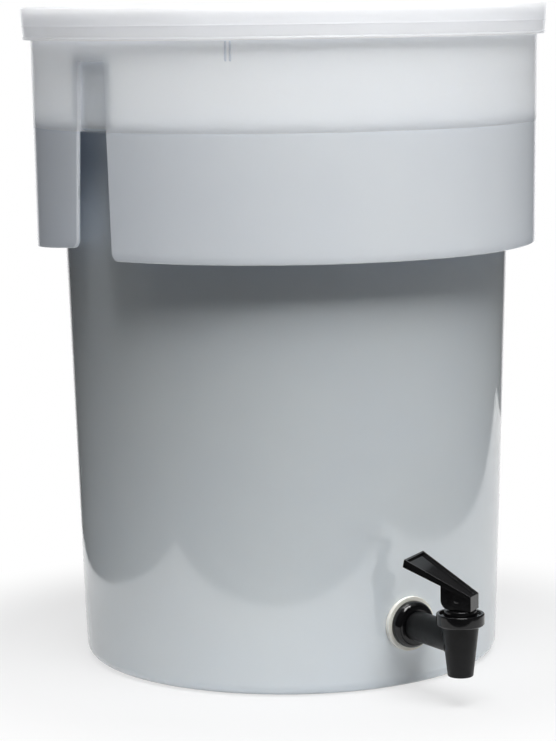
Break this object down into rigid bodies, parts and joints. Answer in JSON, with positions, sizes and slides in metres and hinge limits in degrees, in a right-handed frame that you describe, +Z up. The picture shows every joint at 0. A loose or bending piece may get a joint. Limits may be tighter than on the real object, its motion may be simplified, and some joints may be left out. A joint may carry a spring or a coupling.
{
  "type": "cold brew coffee maker",
  "caption": "Tall tapered brewing container with a hanging grip skirt, lift-off lid, lift-out strainer bag with paper filter, and a push-down tap low on the front.",
  "frame": {"origin": "middle of the base, on the surface the container stands on", "axes": "+Z up; the tap points to -Y"},
  "size_m": [0.3509, 0.3888, 0.4382],
  "materials": {
    "natural_polyethylene": "milky translucent natural polyethylene, smooth and fairly glossy",
    "lid_polyethylene": "milky translucent natural polyethylene, smooth",
    "white_plastic": "moulded, satin",
    "nylon_mesh": "fine open weave",
    "webbing": "flat woven tape",
    "filter_paper": "soft creped paper",
    "cream_silicone": "soft, matte",
    "black_gloss": "moulded, glossy",
    "black_matte": "moulded, satin",
    "stainless": "ground pin"
  },
  "bodies": {
    "container": {"container": "natural_polyethylene", "outer_washer": "cream_silicone", "inner_washer": "cream_silicone", "shank_nut": "black_matte", "shank": "black_gloss", "union_washer": "cream_silicone", "faucet_body": "black_matte", "bonnet": "black_gloss"},
    "strainer": {"strainer_rim": "white_plastic", "strainer_mesh": "nylon_mesh", "strainer_strap_left": "webbing", "strainer_strap_right": "webbing", "paper_filter": "filter_paper"},
    "lid": {"lid": "lid_polyethylene"},
    "seat_cup": {"seat_cup": "cream_silicone"},
    "stem": {"stem": "black_matte"},
    "handle": {"handle": "black_gloss", "handle_pin": "stainless"}
  },
  "joints": [
    {"name": "strainer_lift", "type": "slide", "parent": "container", "child": "strainer", "axis": [0, 0, 1], "range_m": [0, 0.44]},
    {"name": "lid_lift", "type": "slide", "parent": "strainer", "child": "lid", "axis": [0, 0, 1], "range_m": [0, 0.15]},
    {"name": "stem_lift", "type": "slide", "parent": "container", "child": "seat_cup", "axis": [0, 0, 1], "range_m": [0, 0.0025], "deforming": ["seat_cup"]},
    {"name": "handle_swivel", "type": "hinge", "parent": "seat_cup", "child": "stem", "pos_m": [0, -0.19813, 0.0689], "axis": [0, 0, 1], "continuous": true},
    {"name": "handle_tilt", "type": "hinge", "parent": "stem", "child": "handle", "pos_m": [0, -0.19813, 0.0689], "axis": [-0.8572, -0.515, 0], "range_deg": [0, 28], "stiffness_Nm_per_rad": 0.2, "springref_deg": -8.59}
  ],
  "couplings": [
    {"joint": "stem_lift", "follows": "handle_tilt", "m_per_rad": 0.0048}
  ]
}
